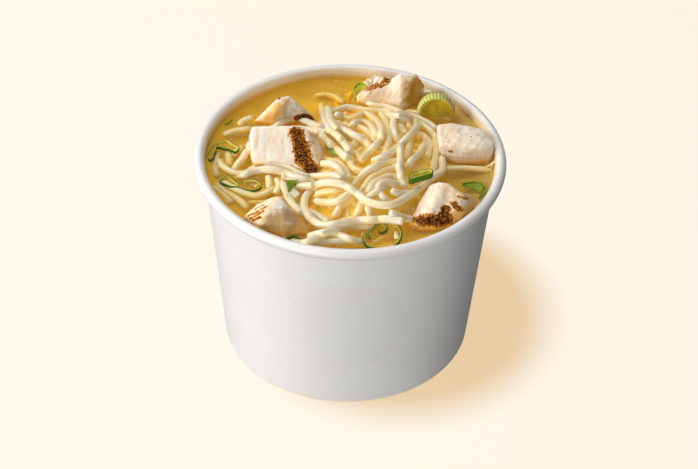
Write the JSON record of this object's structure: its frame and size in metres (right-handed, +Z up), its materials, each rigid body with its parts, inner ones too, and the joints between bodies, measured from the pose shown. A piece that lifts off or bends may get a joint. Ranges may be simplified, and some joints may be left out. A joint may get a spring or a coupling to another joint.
{
  "type": "tub of chicken noodle soup",
  "caption": "White paper soup tub filled almost to its rolled rim with golden broth, a heap of pale noodles, seared chunks of chicken and cut scallions.",
  "frame": {"origin": "middle of the tub's foot, on the surface that it stands on", "axes": "+Z up along the tub's axis; -Y towards the side that the picture is taken from; +X to the right"},
  "size_m": [0.115, 0.115, 0.0909],
  "materials": {
    "paper": "smooth white coated paper, satin",
    "broth": "clear golden liquid, glossy",
    "noodles": "wet pale wheat noodle, glossy and slightly translucent",
    "chicken": "moist cooked meat with fine fibres and dark seared sides",
    "scallion": "wet green leaf, paler inside"
  },
  "bodies": {
    "root": {"tub_wall": "paper", "tub_floor": "paper", "broth": "broth", "noodles": "noodles", "chicken_back_right": "chicken", "chicken_back_left": "chicken", "chicken_left": "chicken", "chicken_right": "chicken", "chicken_front_left": "chicken", "chicken_front_right": "chicken", "scallion_ring_front": "scallion", "scallion_fold_left": "scallion", "scallion_eight": "scallion", "scallion_slit": "scallion", "scallion_flat_ring": "scallion", "scallion_crescent": "scallion", "scallion_hook": "scallion", "scallion_stem": "scallion"}
  },
  "joints": []
}
